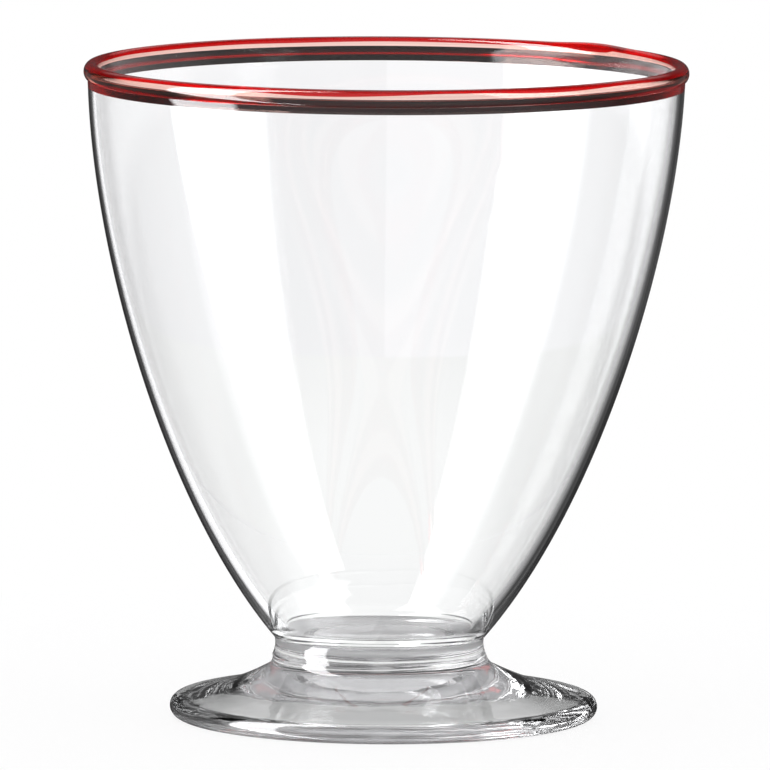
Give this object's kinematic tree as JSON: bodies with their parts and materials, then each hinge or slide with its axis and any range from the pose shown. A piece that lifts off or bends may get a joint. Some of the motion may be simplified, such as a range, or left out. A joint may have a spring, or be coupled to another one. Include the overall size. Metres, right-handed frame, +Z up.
{
  "type": "dessert glass",
  "caption": "Footed dessert glass: a thin clear bowl that tapers to a short collar and a round foot, with a red glass thread fused round its lip.",
  "frame": {"origin": "centre of the foot's ground ring, on the surface that the glass stands on", "axes": "+Z up along the axis of the foot; -Y faces the viewer of the picture; +X to the right"},
  "size_m": [0.092, 0.092, 0.1003],
  "materials": {
    "clear_glass": "clear, fire-polished, hand-blown",
    "ruby_glass": "transparent ruby red, fire-polished"
  },
  "bodies": {
    "root": {"foot": "clear_glass", "stem_collar": "clear_glass", "bowl": "clear_glass", "lip_thread": "ruby_glass"}
  },
  "joints": []
}
